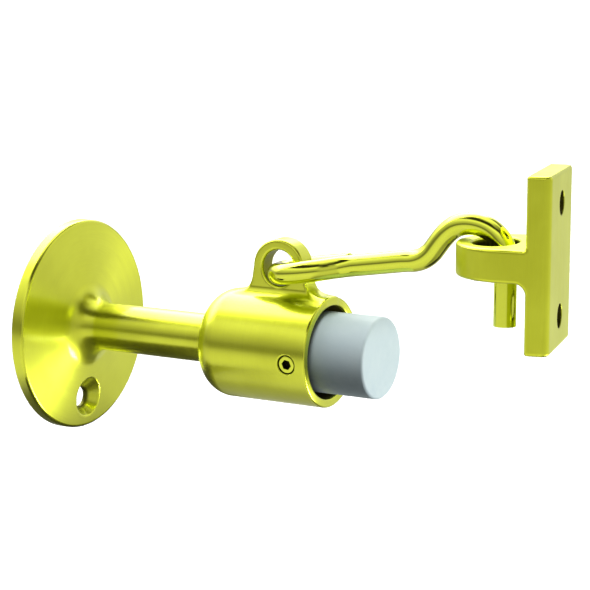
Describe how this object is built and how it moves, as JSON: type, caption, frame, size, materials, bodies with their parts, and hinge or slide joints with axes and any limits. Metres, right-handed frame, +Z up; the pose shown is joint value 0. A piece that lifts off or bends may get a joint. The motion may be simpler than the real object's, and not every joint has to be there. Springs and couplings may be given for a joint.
{
  "type": "wall door stop and holder with hook and keeper",
  "caption": "Brass wall door stop: round flange and arm, cupped head with rubber bumper, and an eye lug whose swinging hook drops into a keeper on the door.",
  "frame": {"origin": "centre of the flange's flat back face, on the wall", "axes": "+X out of the wall along the arm, +Z up, +Y to the left when facing the wall from the room"},
  "size_m": [0.1607, 0.0636, 0.0874],
  "materials": {
    "satin_brass": "satin, fine brushed",
    "polished_brass": "polished",
    "plated_steel": "zinc plated",
    "grey_rubber": "matt, moulded"
  },
  "bodies": {
    "stop": {"wall_flange_arm": "satin_brass", "head": "satin_brass", "head_screw": "plated_steel", "lock_washer": "plated_steel", "bumper": "grey_rubber", "bumper_set_screw": "polished_brass"},
    "hook": {"hook": "polished_brass"},
    "keeper": {"keeper": "satin_brass"}
  },
  "joints": [
    {"name": "hook_swing", "type": "hinge", "parent": "stop", "child": "hook", "pos_m": [0.07315, 0, 0.02186], "axis": [0, -1, 0], "range_deg": [-18, 120]},
    {"name": "keeper_release", "type": "slide", "parent": "hook", "child": "keeper", "axis": [0, 0, -1], "range_m": [0, 0.026]}
  ]
}
